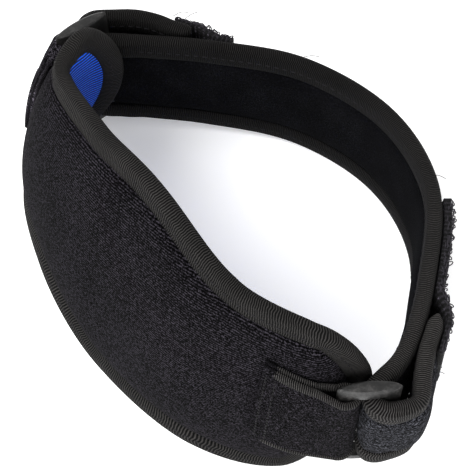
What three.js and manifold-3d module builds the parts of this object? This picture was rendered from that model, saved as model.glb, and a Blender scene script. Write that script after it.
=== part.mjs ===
// Patella strap: a tall front pad and a narrow back strap, joined by two slot rings.
// Millimetres, +Z up. The loop is built upright (X ring to ring, -Y the pad), then set down on its feet.
import * as THREE from 'three';
import { mergeVertices } from 'three/addons/utils/BufferGeometryUtils.js';
import Module from 'manifold-3d';

// Driving sizes
const GAP = 0.3;                  // clearance between pieces that touch
const TAPE = 0.9;                 // binding tape's thickness
const FLAT = 0.55;                // how much cloth gives where it rests
const LOOP = {
  halfWidth: 70, backDepth: 54, frontDepth: 31, lean: 5, leanStart: 43, dip: 0.6, tuck: 3, tuckStart: 20,
  pinch: 0.3,
};
const STRAP = { height: 38, thick: 4.2, bindWidth: 7 };
const PAD = {
  rise: 35, drop: 34, edgeThick: 4.6, bulgeOut: 4.8, bulgeIn: 1.6, lining: 1.2, bindWidth: 6.5, endRound: 15,
};
const RING = {
  endThick: 4.0, tipThick: 1.5, bar: 4.7, slotWidth: 7.2, endBar: 3.3, slotClearance: 0.8, bevel: 1.1,
};
const RING_TAB = { thick: 1.5, height: 38.4, seamHeight: 30, rise: 9, tipGap: 0.9 };
const FOLD = { length: 25, bulge: 10.6 };
const HOOK = { thick: 1.4, height: 34, settle: 9, lap: 9, reach: 36 };
const CONTACT = 0.45;             // gap where the fold-back lies on the strap

// Where each ring stands: shares of LOOP.halfWidth and LOOP.backDepth, and its turn from the Y axis outward.
// fold and bulge are shares of FOLD's length and greatest distance from the strap. The hook tape laps over
// the fold-back's end and reaches past it: shares of HOOK.lap and HOOK.reach. The ring tab leaves its seam on
// the pad and lifts off it at shares of the pad's length. tabSkew sets the seam's top along from its middle,
// and tabRise is the seam's height on the pad, a share of RING_TAB.rise.
const SIDES = [
  {
    name: 'left', side: -1, x: 1.014, y: 0.0, turn: -2, fold: 1.08, bulge: 0.85,
    hookLap: 0.56, hookReach: 0.33, tabSeam: 0.155, tabLift: 0.13, tabSkew: -1, tabRise: 0.9,
  },
  {
    name: 'right', side: 1, x: 0.958, y: -0.065, turn: 31, fold: 1, bulge: 1,
    hookLap: 1, hookReach: 1, tabSeam: 0.83, tabLift: 0.91, tabSkew: 0.5, tabRise: 0.6,
  },
];

// Back strap's centreline from left to right: shares of LOOP.halfWidth and LOOP.backDepth.
const BACK_ROWS = [
  { x: -0.932, y: 0.115 },
  { x: -0.845, y: 0.25 },
  { x: -0.68, y: 0.495 },
  { x: -0.38, y: 0.84 },
  { x: 0.01, y: 1.0 },
  { x: 0.37, y: 0.905 },
  { x: 0.69, y: 0.55 },
  { x: 0.86, y: 0.28 },
  { x: 0.92, y: 0.12 },
];

// Pad's sections from the left tip to the right: place as shares of LOOP.halfWidth and LOOP.frontDepth,
// reach above and below as shares of PAD.rise and PAD.drop, and the slant that sets the lower edge forward.
const PAD_ROWS = [
  { x: -0.85, y: 0.15, up: 0.92, down: 0.28, slant: 1 },
  { x: -0.9, y: -0.22, up: 0.96, down: 0.43, slant: 4 },
  { x: -0.83, y: -0.755, up: 0.945, down: 0.64, slant: 12 },
  { x: -0.45, y: -1.045, up: 1.02, down: 0.735, slant: 19 },
  { x: -0.055, y: -1.025, up: 1.08, down: 0.99, slant: 18 },
  { x: 0.42, y: -0.88, up: 0.94, down: 0.955, slant: 15 },
  { x: 0.715, y: -0.445, up: 1.0, down: 1.08, slant: 2.5 },
  { x: 0.832, y: -0.085, up: 0.95, down: 0.66, slant: -3 },
  { x: 0.858, y: 0.07, up: 0.84, down: 0.4, slant: -4 },
];

// Fold-back's distance from the strap at shares of its length: 0 lies on it and 1 is the side's bulge.
const FOLD_ROWS = [
  { along: 0.16, left: 0.9, right: 1.0 },
  { along: 0.4, left: 1.0, right: 0.38 },
  { along: 0.62, left: 0.75, right: 0.05 },
  { along: 0.82, left: 0.25, right: 0.0 },
  { along: 1.0, left: 0.0, right: 0.0 },
];

// Points of a ring tab's section: share of its half height, and of its thickness there.
const TAB_SECTION = [
  { height: -1, thick: 0.8 },
  { height: -0.5, thick: 0.95 },
  { height: 0, thick: 1.0 },
  { height: 0.5, thick: 0.95 },
  { height: 1, thick: 0.8 },
];

const V = (x, y, z) => new THREE.Vector3(x, y, z);
const radians = THREE.MathUtils.degToRad;
const lerp = THREE.MathUtils.lerp;

// Solids from faces

class Faces {
  constructor() { this.xyz = []; }
  tri(a, b, c) { for (const p of [a, b, c]) this.xyz.push(p.x, p.y, p.z); }
  quad(a, b, c, d) { this.tri(a, b, c); this.tri(a, c, d); }

  // Welds the corners, drops empty triangles and turns every face outward.
  geometry() {
    let loose = new THREE.BufferGeometry();
    loose.setAttribute('position', new THREE.Float32BufferAttribute(this.xyz, 3));
    loose = mergeVertices(loose, 1e-4);
    const kept = [];
    const old = loose.index.array;
    for (let i = 0; i < old.length; i += 3) {
      const [a, b, c] = [old[i], old[i + 1], old[i + 2]];
      if (a !== b && b !== c && a !== c) kept.push(a, b, c);
    }
    loose.setIndex(kept);
    if (volume(loose) < 0) loose.setIndex(flipped(kept));
    return loose;
  }
}

function flipped(index) {
  const out = [];
  for (let i = 0; i < index.length; i += 3) out.push(index[i], index[i + 2], index[i + 1]);
  return out;
}

function volume(geometry) {
  const position = geometry.attributes.position;
  const index = geometry.index.array;
  const [a, b, c] = [V(), V(), V()];
  let sum = 0;
  for (let i = 0; i < index.length; i += 3) {
    a.fromBufferAttribute(position, index[i]);
    b.fromBufferAttribute(position, index[i + 1]);
    c.fromBufferAttribute(position, index[i + 2]);
    sum += a.dot(b.clone().cross(c)) / 6;
  }
  return sum;
}

// A flat section's triangles, wound the same way as its outline.
function capTriangles(section) {
  const flat = section.map(([a, b]) => new THREE.Vector2(a, b));
  const sign = Math.sign(THREE.ShapeUtils.area(flat));
  return THREE.ShapeUtils.triangulateShape(flat, []).map(([a, b, c]) => {
    const same = Math.sign(THREE.ShapeUtils.area([flat[a], flat[b], flat[c]])) === sign;
    return same ? [a, b, c] : [a, c, b];
  });
}

// Skins rows of points into one closed body; an open run gets a cap at each end.
function loft(rows, section, closed = false) {
  const faces = new Faces();
  const runs = closed ? rows.length : rows.length - 1;
  for (let i = 0; i < runs; i++) {
    const here = rows[i];
    const next = rows[(i + 1) % rows.length];
    for (let j = 0; j < section.length; j++) {
      const k = (j + 1) % section.length;
      faces.quad(here[j], here[k], next[k], next[j]);
    }
  }
  if (!closed) {
    const [first, last] = [rows[0], rows[rows.length - 1]];
    for (const [a, b, c] of capTriangles(section)) {
      faces.tri(first[a], first[c], first[b]);
      faces.tri(last[a], last[b], last[c]);
    }
  }
  return faces.geometry();
}

// Curves

const curveOf = (points) => new THREE.CatmullRomCurve3(points, false, 'centripetal');

// Value of a table's column at a share of its along column.
function column(rows, name, along) {
  const last = rows.length - 1;
  if (along <= rows[0].along) return rows[0][name];
  for (let i = 0; i < last; i++) {
    if (along > rows[i + 1].along) continue;
    const share = (along - rows[i].along) / (rows[i + 1].along - rows[i].along);
    return lerp(rows[i][name], rows[i + 1][name], THREE.MathUtils.smoothstep(share, 0, 1));
  }
  return rows[last][name];
}

const rightOf = (tangent) => V(tangent.y, -tangent.x, 0).normalize();

// The loop's lean: towards the pad the strap dips and its edges tip forward

const LEAN_SLOPE = Math.tan(radians(LOOP.lean));
const dipAt = (y) => LOOP.dip * Math.max(0, 1 - y / LOOP.leanStart) ** 2;
const slopeAt = (y) => LEAN_SLOPE * THREE.MathUtils.clamp(1 - y / LOOP.leanStart, 0, 1);

// The right joint's foot is tucked in under its top, which keeps its place, and the more so past the ring.
const TUCK_SLOPE = Math.tan(radians(LOOP.tuck));
const pinchAt = (x) => LOOP.pinch * Math.max(0, x - LOOP.halfWidth) / STRAP.height;
const tuckAt = (p) => (
  p.x > 0 ? TUCK_SLOPE * THREE.MathUtils.clamp(1 - p.y / LOOP.tuckStart, 0, 1) + pinchAt(p.x) : 0
);
const leaned = (p) => V(
  p.x - tuckAt(p) * (STRAP.height / 2 - p.z),
  p.y - slopeAt(p.y) * p.z,
  p.z - dipAt(p.y),
);

// Rings: a lens-shaped bar all round, with one slot for the strap and the tab

const RING_WIDTH = RING.slotWidth + 2 * RING.bar;
const RING_SLOT = Math.max(STRAP.height, RING_TAB.height) + 2 * RING.slotClearance;
const RING_HEIGHT = RING_SLOT + 2 * RING.endBar;
const BAR_CENTRE = RING.slotWidth / 2 + RING.bar / 2;

// The lens's thickness at a distance from the ring's middle.
const lensThick = (v) => lerp(RING.endThick, RING.tipThick, (2 * v / RING_WIDTH) ** 2);

function ringFrame(row) {
  const turn = radians(row.turn);
  return {
    centre: V(row.x * row.side * LOOP.halfWidth, row.y * LOOP.backDepth, 0),
    far: V(row.side * Math.sin(turn), Math.cos(turn), 0),
    out: V(row.side * Math.cos(turn), -Math.sin(turn), 0),
  };
}

const ringPoint = (frame, v, w) => (
  frame.centre.clone().addScaledVector(frame.far, v).addScaledVector(frame.out, w)
);

// Point on the oval that a cloth's middle follows round a bar; angle 0 is in the slot, 90 is outside.
// toward is +1 for the far bar and -1 for the near bar.
function roundBar(frame, toward, clothThick, degrees) {
  const angle = radians(degrees);
  const reach = RING.bar / 2 + GAP + clothThick / 2;
  const rise = lensThick(RING.slotWidth / 2) / 2 + GAP + clothThick / 2;
  return ringPoint(frame, toward * (BAR_CENTRE - reach * Math.cos(angle)), rise * Math.sin(angle));
}

async function manifoldTools() {
  const wasm = await Module();
  wasm.setup();
  const toSolid = (geometry) => {
    const bare = geometry.clone();
    bare.deleteAttribute('normal');
    bare.deleteAttribute('uv');
    const welded = mergeVertices(bare, 1e-4);
    const mesh = new wasm.Mesh({
      numProp: 3,
      vertProperties: new Float32Array(welded.attributes.position.array),
      triVerts: new Uint32Array(welded.index.array),
    });
    return new wasm.Manifold(mesh);
  };
  const toGeometry = (body) => {
    const mesh = body.getMesh();
    const geometry = new THREE.BufferGeometry();
    geometry.setAttribute('position', new THREE.BufferAttribute(new Float32Array(mesh.vertProperties), 3));
    geometry.setIndex([...mesh.triVerts]);
    return geometry;
  };
  return { toSolid, toGeometry };
}

// The ring lies in its own frame: x across the cloth's run, y outward, z along the slot.
function ringGeometry(tools) {
  const lens = new THREE.Shape();
  const [half, tip, crown] = [RING_WIDTH / 2, RING.tipThick / 2, RING.endThick - RING.tipThick / 2];
  lens.moveTo(-half, -tip);
  lens.quadraticCurveTo(0, -crown, half, -tip);
  lens.lineTo(half, tip);
  lens.quadraticCurveTo(0, crown, -half, tip);
  lens.closePath();
  const body = new THREE.ExtrudeGeometry(lens, {
    depth: RING_HEIGHT - 2 * RING.bevel,
    bevelSize: 0.6 * RING.bevel,
    bevelOffset: -0.6 * RING.bevel,
    bevelThickness: RING.bevel,
    bevelSegments: 2,
    curveSegments: 8,
  });
  body.translate(0, 0, RING.bevel - RING_HEIGHT / 2);
  return tools.toGeometry(tools.toSolid(body).subtract(tools.toSolid(slotCutter())));
}

// Cuts the slot and leaves a rounded nose on both bars, which the cloth turns round.
function slotCutter() {
  const [nose, crown, reach] = [RING.bar / 2, lensThick(RING.slotWidth / 2) / 2, RING.endThick];
  const slot = new THREE.Shape();
  slot.moveTo(-BAR_CENTRE, -reach);
  slot.lineTo(BAR_CENTRE, -reach);
  slot.lineTo(BAR_CENTRE, -crown);
  slot.absellipse(BAR_CENTRE, 0, nose, crown, -Math.PI / 2, Math.PI / 2, true);
  slot.lineTo(BAR_CENTRE, reach);
  slot.lineTo(-BAR_CENTRE, reach);
  slot.lineTo(-BAR_CENTRE, crown);
  slot.absellipse(-BAR_CENTRE, 0, nose, crown, Math.PI / 2, -Math.PI / 2, true);
  slot.closePath();
  const settings = { depth: RING_SLOT, bevelEnabled: false, curveSegments: 10 };
  return new THREE.ExtrudeGeometry(slot, settings).translate(0, 0, -RING_SLOT / 2);
}

function placeRing(geometry, frame) {
  const upright = V(0, 0, 1);
  const basis = new THREE.Matrix4().makeBasis(frame.far, upright.clone().cross(frame.far), upright);
  const foot = leaned(frame.centre);
  const up = leaned(frame.centre.clone().setZ(1)).sub(foot).normalize();
  const tip = new THREE.Quaternion().setFromUnitVectors(upright, up);
  const lean = new THREE.Matrix4().makeRotationFromQuaternion(tip);
  return geometry.clone().applyMatrix4(basis).applyMatrix4(lean).translate(foot.x, foot.y, foot.z);
}

// Back strap: its path from the left fold-back's end, through both rings, to the right one's

const LEG_TURN = -35;             // where the strap leaves the far bar on the leg side
const OUT_TURN = 100;             // and where the fold-back leaves it outside

const BACK_CURVE = curveOf([
  roundBar(ringFrame(SIDES[0]), 1, STRAP.thick, LEG_TURN),
  ...BACK_ROWS.map((row) => V(row.x * LOOP.halfWidth, row.y * LOOP.backDepth, 0)),
  roundBar(ringFrame(SIDES[1]), 1, STRAP.thick, LEG_TURN),
]);
const BACK_LENGTH = BACK_CURVE.getLength();

// A point set off outward from the strap's middle, a distance along it from one ring.
function besideStrap(row, distance, offset) {
  const share = distance / BACK_LENGTH;
  const u = row.side < 0 ? share : 1 - share;
  return BACK_CURVE.getPointAt(u).addScaledVector(rightOf(BACK_CURVE.getTangentAt(u)), -offset);
}

const FOLD_REST = STRAP.thick + CONTACT;
const foldLength = (row) => row.fold * FOLD.length;
const foldOffset = (row, along) => (
  FOLD_REST + (row.bulge * FOLD.bulge - FOLD_REST) * column(FOLD_ROWS, row.name, along)
);

function foldPoints(row) {
  return FOLD_ROWS.map(({ along }) => besideStrap(row, along * foldLength(row), foldOffset(row, along)));
}

function strapPath() {
  const wrap = [OUT_TURN, 72, 48, 22, -6, LEG_TURN];
  const [left, right] = SIDES;
  const leftWrap = wrap.map((angle) => roundBar(ringFrame(left), 1, STRAP.thick, angle));
  const rightWrap = wrap.map((angle) => roundBar(ringFrame(right), 1, STRAP.thick, angle));
  const keys = [
    ...foldPoints(left).reverse(),
    ...leftWrap,
    ...BACK_ROWS.map((row) => V(row.x * LOOP.halfWidth, row.y * LOOP.backDepth, 0)),
    ...rightWrap.reverse(),
    ...foldPoints(right),
  ];
  return curveOf(keys).getPoints(3 * (keys.length - 1));
}

// Sets a section of [offset, height] points upright at each point of a path, then leans the whole.
function sweepUpright(path, section) {
  const rows = path.map((point, i) => {
    const before = path[Math.max(i - 1, 0)];
    const after = path[Math.min(i + 1, path.length - 1)];
    const side = rightOf(after.clone().sub(before));
    return section.map(([n, z]) => leaned(V(point.x + side.x * n, point.y + side.y * n, z)));
  });
  return loft(rows, section);
}

function strapCoreSection() {
  const [full, thin] = [STRAP.thick / 2, STRAP.thick / 2 - TAPE - GAP];
  const step = STRAP.height / 2 - STRAP.bindWidth - GAP;
  const top = STRAP.height / 2 - TAPE - GAP;
  return [
    [full, -step], [full, step], [thin, step + 0.1], [thin, top], [-thin, top], [-thin, step + 0.1],
    [-full, step], [-full, -step], [-thin, -step - 0.1], [-thin, -top], [thin, -top], [thin, -step - 0.1],
  ];
}

// A folded tape's section round an edge at height edge; up is +1 for an upper edge and -1 for a lower.
function tapeSection(thick, width, edge, up) {
  const out = thick / 2;
  const inner = out - TAPE;
  const outline = [
    [out, width], [out, 0.28 * thick], [0.62 * out, 0.08 * thick], [0, 0], [-0.62 * out, 0.08 * thick],
    [-out, 0.28 * thick], [-out, width], [-inner, width], [-inner, TAPE], [inner, TAPE], [inner, width],
  ];
  return outline.map(([n, depth]) => [n, up * (edge - depth)]);
}

// Pad: one curved surface, told by distance along from the left tip, height, and depth through it

const PAD_CURVE = curveOf(PAD_ROWS.map((row) => V(row.x * LOOP.halfWidth, row.y * LOOP.frontDepth, 0)));
const PAD_LENGTH = PAD_CURVE.getLength();
const PAD_REACH = curveOf(PAD_ROWS.map((row) => V(row.up * PAD.rise, row.down * PAD.drop, row.slant)));

function padFrame(along) {
  const share = THREE.MathUtils.clamp(along / PAD_LENGTH, 0, 1);
  const t = PAD_CURVE.getUtoTmapping(share);
  const tangent = PAD_CURVE.getTangent(t);
  const out = rightOf(tangent);
  const reach = PAD_REACH.getPoint(t);
  const slant = radians(reach.z);
  const base = PAD_CURVE.getPoint(t).addScaledVector(tangent, along - share * PAD_LENGTH);
  return {
    base,
    up: V(0, 0, Math.cos(slant)).addScaledVector(out, -Math.sin(slant)),
    normal: out.clone().multiplyScalar(Math.cos(slant)).add(V(0, 0, Math.sin(slant))),
    rise: reach.x,
    drop: reach.y,
  };
}

const padPoint = (along, height, depth) => {
  const frame = padFrame(along);
  return frame.base.clone().addScaledVector(frame.up, height).addScaledVector(frame.normal, depth);
};

// Places along the pad, close together where the ends round off.
function padStations() {
  const round = [0, 18, 36, 54, 72, 90].map((angle) => PAD.endRound * (1 - Math.cos(radians(angle))));
  const inner = PAD_LENGTH - 2 * PAD.endRound;
  const steps = 20;
  const middle = Array.from({ length: steps - 1 }, (_, i) => PAD.endRound + inner * (i + 1) / steps);
  return [...round, ...middle, ...round.map((d) => PAD_LENGTH - d).reverse()];
}

// The pad's edge as a closed outline, along the top to the right tip and back along the bottom.
function padOutline() {
  const edge = padStations().map((along) => {
    const { rise, drop } = padFrame(along);
    const fromTip = Math.min(along, PAD_LENGTH - along, PAD.endRound) / PAD.endRound;
    const round = Math.sqrt(Math.max(0, 1 - (1 - fromTip) ** 2));
    const [middle, half] = [(rise - drop) / 2, (rise + drop) / 2 * round];
    return { along, top: middle + half, bottom: middle - half };
  });
  const top = edge.map((e) => new THREE.Vector2(e.along, e.top));
  const bottom = edge.slice(1, -1).reverse().map((e) => new THREE.Vector2(e.along, e.bottom));
  return [...top, ...bottom];
}

const OUTLINE = padOutline();
const COLUMNS = padStations().length;

// The outline drawn in by a distance.
function inset(distance) {
  return OUTLINE.map((point, i) => {
    const before = OUTLINE[(i + OUTLINE.length - 1) % OUTLINE.length];
    const after = OUTLINE[(i + 1) % OUTLINE.length];
    const run = after.clone().sub(before).normalize();
    return new THREE.Vector2(point.x + run.y * distance, point.y - run.x * distance);
  });
}

// How far the padding swells, 0 at the outline and 1 in the middle.
function swell(top, bottom, across) {
  const height = top.y - bottom.y;
  const tall = Math.min(1, height / (PAD.rise + PAD.drop - 2 * PAD.bindWidth));
  return (4 * across * (1 - across)) ** 0.7 * tall ** 1.3;
}

const ACROSS = 6;

// Adds one face of the pad inside an outline; depthAt turns the swell into a depth.
function addFace(faces, outline, depthAt, outward) {
  const grid = [];
  for (let i = 0; i < COLUMNS; i++) {
    const top = outline[i];
    const bottom = outline[(outline.length - i) % outline.length];
    grid.push(Array.from({ length: ACROSS + 1 }, (_, j) => {
      const across = j / ACROSS;
      const place = top.clone().lerp(bottom, across);
      return padPoint(place.x, place.y, depthAt(swell(top, bottom, across)));
    }));
  }
  for (let i = 0; i < COLUMNS - 1; i++) {
    for (let j = 0; j < ACROSS; j++) {
      const [a, b, c, d] = [grid[i][j], grid[i][j + 1], grid[i + 1][j + 1], grid[i + 1][j]];
      if (outward) faces.quad(a, b, c, d);
      else faces.quad(a, d, c, b);
    }
  }
}

// Adds the strip between two outlines, each at its own depth.
function addStrip(faces, outer, outerDepth, inner, innerDepth, outward) {
  const count = outer.length;
  for (let i = 0; i < count; i++) {
    const k = (i + 1) % count;
    const a = padPoint(outer[i].x, outer[i].y, outerDepth);
    const b = padPoint(inner[i].x, inner[i].y, innerDepth);
    const c = padPoint(inner[k].x, inner[k].y, innerDepth);
    const d = padPoint(outer[k].x, outer[k].y, outerDepth);
    if (outward) faces.quad(a, b, c, d);
    else faces.quad(a, d, c, b);
  }
}

function padShellGeometry() {
  const faces = new Faces();
  const thin = PAD.edgeThick / 2 - TAPE - 1.5 * GAP;
  const rim = inset(TAPE + 1.5 * GAP);
  const step = inset(PAD.bindWidth + GAP);
  const field = inset(PAD.bindWidth + GAP + 0.2);
  const back = -PAD.edgeThick / 2 + PAD.lining + GAP;
  addStrip(faces, rim, thin, step, thin, true);
  addStrip(faces, step, thin, field, PAD.edgeThick / 2, true);
  addFace(faces, field, (share) => PAD.edgeThick / 2 + PAD.bulgeOut * share, true);
  addStrip(faces, rim, -thin, step, -thin, false);
  addStrip(faces, step, -thin, field, back, false);
  addFace(faces, field, (share) => back - PAD.bulgeIn * share, false);
  addStrip(faces, rim, -thin, rim, thin, true);
  return faces.geometry();
}

function padLiningGeometry() {
  const faces = new Faces();
  const field = inset(PAD.bindWidth + GAP + 0.1);
  const legSide = -PAD.edgeThick / 2;
  addFace(faces, field, (share) => legSide + PAD.lining - PAD.bulgeIn * share, true);
  addFace(faces, field, (share) => legSide - PAD.bulgeIn * share, false);
  addStrip(faces, field, legSide, field, legSide + PAD.lining, true);
  return faces.geometry();
}

function padBindingGeometry() {
  const section = tapeSection(PAD.edgeThick, PAD.bindWidth, 0, -1);
  const depths = section.map(([n, inward]) => ({ n, ring: inset(inward) }));
  const rows = OUTLINE.map((_, i) => depths.map(({ n, ring }) => padPoint(ring[i].x, ring[i].y, n)));
  return loft(rows, section, true);
}

// Ring tabs: from a seam on the pad's outer face, round the near bar in the slot, and back over themselves

// The pad's outer face's depth at a place, with the padding's swell in it.
function outerDepthAt(along, height) {
  const { rise, drop } = padFrame(along);
  const [top, bottom] = [rise - PAD.bindWidth, -drop + PAD.bindWidth];
  const across = THREE.MathUtils.clamp((top - height) / (top - bottom), 0, 1);
  const share = swell(new THREE.Vector2(0, top), new THREE.Vector2(0, bottom), across);
  return PAD.edgeThick / 2 + PAD.bulgeOut * share;
}

// The tab's section as [distance towards the outside of its turn, height] points.
function tabSection(height) {
  const half = RING_TAB.thick / 2;
  const side = (sign) => TAB_SECTION.map((row) => [sign * row.thick * half, row.height * height / 2]);
  return [...side(1), ...side(-1).reverse()];
}

// The tab's points where it lies on the pad: layer 0 is the under layer and 1 the outer one.
function padRow(middleAlong, middle, height, skew, layer) {
  const lift = RING_TAB.tipGap + RING_TAB.thick / 2 + layer * (RING_TAB.thick + GAP);
  const toward = layer ? 1 : -1;
  return tabSection(height).map(([n, z]) => {
    const along = middleAlong + skew * 2 * z / height;
    return padPoint(along, middle + z, outerDepthAt(along, middle + z) + lift + toward * n);
  });
}

// The tab's points at an angle round the near bar.
function barRow(frame, degrees) {
  const at = roundBar(frame, -1, RING_TAB.thick, degrees);
  const ahead = roundBar(frame, -1, RING_TAB.thick, degrees + 1);
  const away = rightOf(ahead.sub(at)).multiplyScalar(-Math.sign(frame.out.x));
  return tabSection(RING_TAB.height).map(([n, z]) => leaned(at.clone().addScaledVector(away, n).setZ(z)));
}

const blend = (rowA, rowB, share) => rowA.map((point, i) => point.clone().lerp(rowB[i], share));

function ringTabGeometry(row) {
  const frame = ringFrame(row);
  const [seam, liftOff] = [row.tabSeam * PAD_LENGTH, row.tabLift * PAD_LENGTH];
  const onPad = [0, 0.25, 0.5, 0.75, 1];
  const rise = row.tabRise * RING_TAB.rise;
  const lying = (layer) => onPad.map((share) => {
    const left = 1 - share;
    const height = lerp(RING_TAB.seamHeight, RING_TAB.height, share / 2);
    return padRow(lerp(seam, liftOff, share), (1 + left) / 2 * rise, height, left * row.tabSkew, layer);
  });
  const round = [-115, -90, -60, -30, 0, 30, 60, 90, 115].map((angle) => barRow(frame, angle));
  const free = [0.25, 0.5, 0.75];
  const under = lying(0);
  const over = lying(1).reverse();
  const rows = [
    ...under,
    ...free.map((share) => blend(under[under.length - 1], round[0], share)),
    ...round,
    ...free.map((share) => blend(round[round.length - 1], over[0], share)),
    ...over,
  ];
  return loft(rows, tabSection(RING_TAB.height));
}

// Hook tabs: over the fold-back's end, then down onto the strap

function hookTabGeometry(row) {
  const lies = STRAP.thick / 2 + CONTACT + HOOK.thick / 2;
  const steps = 12;
  const [fold, lap] = [foldLength(row), row.hookLap * HOOK.lap];
  const length = lap + row.hookReach * HOOK.reach;
  const path = Array.from({ length: steps + 1 }, (_, i) => {
    const distance = fold - lap + length * i / steps;
    const past = THREE.MathUtils.clamp((distance - fold) / HOOK.settle, 0, 1);
    const onFold = foldOffset(row, Math.min(1, distance / fold)) + lies;
    return besideStrap(row, distance, lerp(onFold, lies, THREE.MathUtils.smoothstep(past, 0, 1)));
  });
  const [n, z] = [HOOK.thick / 2, HOOK.height / 2];
  return sweepUpright(path, [[n, -z], [n, z], [-n, z], [-n, -z]]);
}

// Setting the loop down on three feet: the pad's lower edge, the left ring and the back's lower edge

const UP = V(0, 0, 1);
const FEET = [
  { name: 'pad_binding', gives: FLAT, holds: () => true },
  { name: 'ring_left', gives: 0, holds: () => true },
  { name: 'strap_binding_lower', gives: FLAT, holds: (p) => p.y > LOOP.backDepth / 2 },
];

// The point of a piece that comes lowest once the loop is turned.
function lowest(geometry, turn, holds) {
  const position = geometry.attributes.position;
  let best = V(0, 0, Infinity);
  for (let i = 0; i < position.count; i++) {
    const p = V().fromBufferAttribute(position, i);
    if (!holds(p)) continue;
    p.applyQuaternion(turn);
    if (p.z < best.z) best = p;
  }
  return best;
}

// Where a foot meets the floor, a little above its lowest point if it gives.
function footPoint(foot, geometryOf, turn) {
  return lowest(geometryOf(foot.name), turn, foot.holds).addScaledVector(UP, foot.gives);
}

function restTurn(geometryOf) {
  const turn = new THREE.Quaternion();
  for (let i = 0; i < 12; i++) {
    const [a, b, c] = FEET.map((foot) => footPoint(foot, geometryOf, turn));
    const normal = b.sub(a).cross(c.sub(a)).normalize();
    if (normal.z < 0) normal.negate();
    turn.premultiply(new THREE.Quaternion().setFromUnitVectors(normal, UP));
  }
  return turn;
}

// Flattens what would sink below the floor once the loop is turned.
function press(geometry, turn, floor) {
  const position = geometry.attributes.position;
  const up = UP.clone().applyQuaternion(turn.clone().invert());
  for (let i = 0; i < position.count; i++) {
    const p = V().fromBufferAttribute(position, i);
    p.addScaledVector(up, Math.max(0, floor - p.dot(up)));
    position.setXYZ(i, p.x, p.y, p.z);
  }
}

// Materials and assembly

const cloth = (color, roughness = 0.95) => new THREE.MeshStandardMaterial({ color, roughness, metalness: 0 });
const LOOP_FABRIC = cloth(0x242227);
const BLUE_KNIT = cloth(0x163886, 0.8);
const BINDING = cloth(0x2c2a2c, 0.85);
const PLUSH = cloth(0x131316);
const HOOK_TAPE = cloth(0x18181a, 0.9);
const PLASTIC = cloth(0x3c3a3b, 0.45);

const tools = await manifoldTools();
const path = strapPath();
const half = STRAP.height / 2;
const ring = ringGeometry(tools);

const pieces = [
  ['pad_shell', padShellGeometry(), LOOP_FABRIC],
  ['pad_lining', padLiningGeometry(), BLUE_KNIT],
  ['pad_binding', padBindingGeometry(), BINDING],
  ['strap_core', sweepUpright(path, strapCoreSection()), PLUSH],
  ['strap_binding_upper', sweepUpright(path, tapeSection(STRAP.thick, STRAP.bindWidth, half, 1)), BINDING],
  ['strap_binding_lower', sweepUpright(path, tapeSection(STRAP.thick, STRAP.bindWidth, half, -1)), BINDING],
  ...SIDES.flatMap((row) => [
    [`ring_${row.name}`, placeRing(ring, ringFrame(row)), PLASTIC],
    [`ring_tab_${row.name}`, ringTabGeometry(row), LOOP_FABRIC],
    [`hook_tab_${row.name}`, hookTabGeometry(row), HOOK_TAPE],
  ]),
];

const geometryOf = (name) => pieces.find((piece) => piece[0] === name)[1];
const turn = restTurn(geometryOf);
const floor = footPoint(FEET[0], geometryOf, turn).z;
for (const name of ['pad_binding', 'strap_binding_lower']) press(geometryOf(name), turn, floor);

const strap = new THREE.Group();
for (const [name, geometry, material] of pieces) {
  const mesh = new THREE.Mesh(geometry, material);
  mesh.name = name;
  strap.add(mesh);
}
strap.quaternion.copy(turn);
const middle = new THREE.Box3().setFromObject(strap, true).getCenter(V());
strap.position.set(-middle.x, -middle.y, -floor);
strap.updateMatrixWorld(true);

export default strap;
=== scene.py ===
"""Patella strap: cloth, bindings, stitches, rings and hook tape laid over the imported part."""

import math

import bmesh
import bpy
import numpy as np
from mathutils import Matrix, Quaternion, Vector


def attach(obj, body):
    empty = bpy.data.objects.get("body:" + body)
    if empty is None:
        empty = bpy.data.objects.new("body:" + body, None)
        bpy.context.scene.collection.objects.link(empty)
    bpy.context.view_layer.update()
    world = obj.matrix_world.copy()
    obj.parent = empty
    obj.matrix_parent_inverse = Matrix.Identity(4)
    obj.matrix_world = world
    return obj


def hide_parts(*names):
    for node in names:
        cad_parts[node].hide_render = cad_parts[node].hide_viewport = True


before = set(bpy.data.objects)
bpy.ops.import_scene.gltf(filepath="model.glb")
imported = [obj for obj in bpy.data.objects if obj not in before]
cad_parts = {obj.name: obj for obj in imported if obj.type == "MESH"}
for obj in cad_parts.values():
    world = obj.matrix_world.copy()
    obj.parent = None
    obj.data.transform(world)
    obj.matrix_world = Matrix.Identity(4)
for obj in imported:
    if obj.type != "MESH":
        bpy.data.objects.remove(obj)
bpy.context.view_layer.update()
MM = 0.001

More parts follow.
